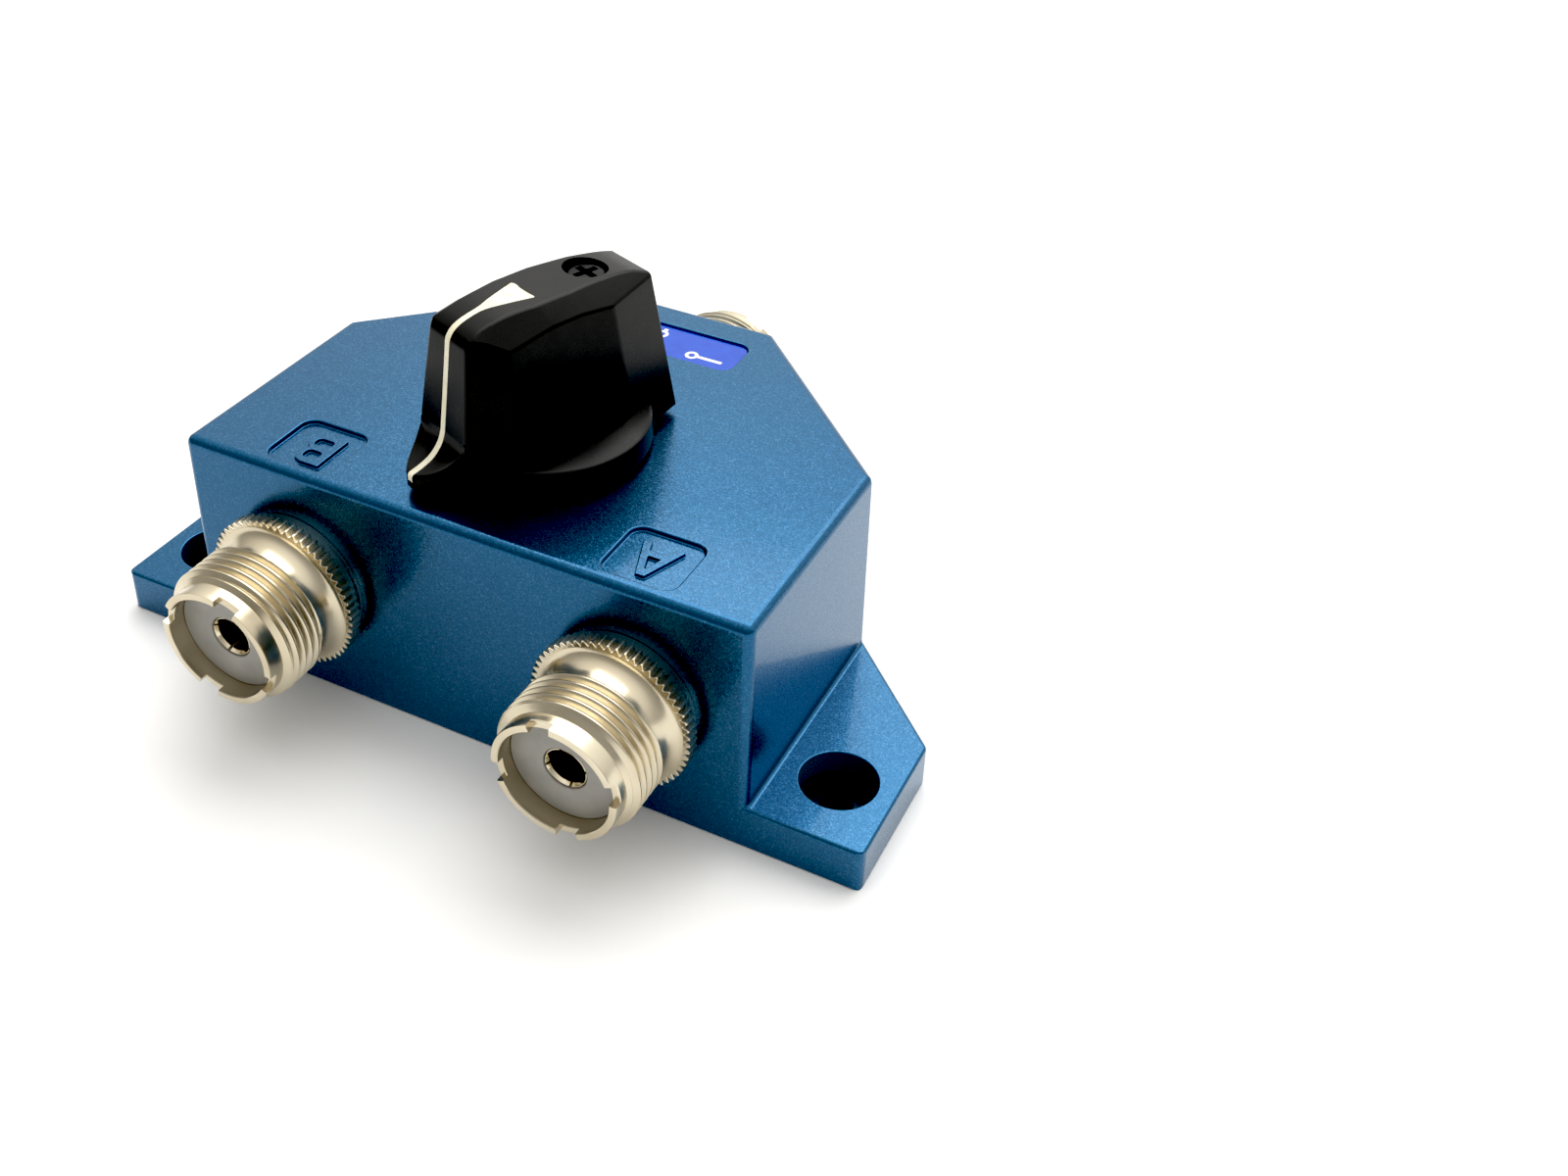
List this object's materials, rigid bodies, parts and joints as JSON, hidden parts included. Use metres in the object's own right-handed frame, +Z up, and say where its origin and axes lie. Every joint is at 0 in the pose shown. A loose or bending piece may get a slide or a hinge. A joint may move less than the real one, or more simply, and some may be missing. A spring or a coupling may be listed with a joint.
{
  "type": "coaxial antenna switch",
  "caption": "Coaxial antenna switch: six-sided cast box with two drilled ears, threaded coax sockets front and rear, and a bar pointer knob that turns between them.",
  "frame": {"origin": "on the underside, midway between the two screw holes of the ears", "axes": "+X towards port A, -Y towards the side with ports A and B, +Y towards the common port, +Z up along the knob's axis"},
  "size_m": [0.0944, 0.079, 0.0465],
  "materials": {
    "blue_paint": "satin",
    "plate_blue": "gloss",
    "cover_metal": "satin",
    "bright_steel": "satin",
    "white_plastic": "matte",
    "nickel": "polished",
    "pale_insulator": "satin",
    "contact_brass": "polished",
    "strip_brass": "satin",
    "black_plastic": "satin",
    "cream_paint": "satin",
    "black_screw": "satin"
  },
  "bodies": {
    "switch_body": {"housing": "blue_paint", "name_plate": "plate_blue", "base_cover": "cover_metal", "cover_screws": "bright_steel", "support_post": "white_plastic", "connector_shell_a": "nickel", "connector_shell_b": "nickel", "connector_shell_com": "nickel", "insulator_a": "pale_insulator", "insulator_b": "pale_insulator", "insulator_com": "pale_insulator", "centre_contact_a": "contact_brass", "centre_contact_b": "contact_brass", "centre_contact_com": "contact_brass", "contact_strip_a": "strip_brass", "contact_strip_b": "strip_brass", "contact_strip_com": "strip_brass", "shaft_bushing": "strip_brass", "wave_washer": "bright_steel", "detent_ball": "bright_steel", "detent_spring": "bright_steel", "stop_pin": "bright_steel"},
    "selector": {"switch_shaft": "bright_steel", "retaining_ring": "bright_steel", "rotor": "white_plastic", "rotor_blade": "strip_brass", "drive_plate": "bright_steel", "knob": "black_plastic", "pointer_inlay": "cream_paint", "knob_screw": "black_screw"}
  },
  "joints": [
    {"name": "selector_turn", "type": "hinge", "parent": "switch_body", "child": "selector", "pos_m": [0, 0.0105, 0], "axis": [0, 0, 1], "range_deg": [0, 42.8]}
  ]
}
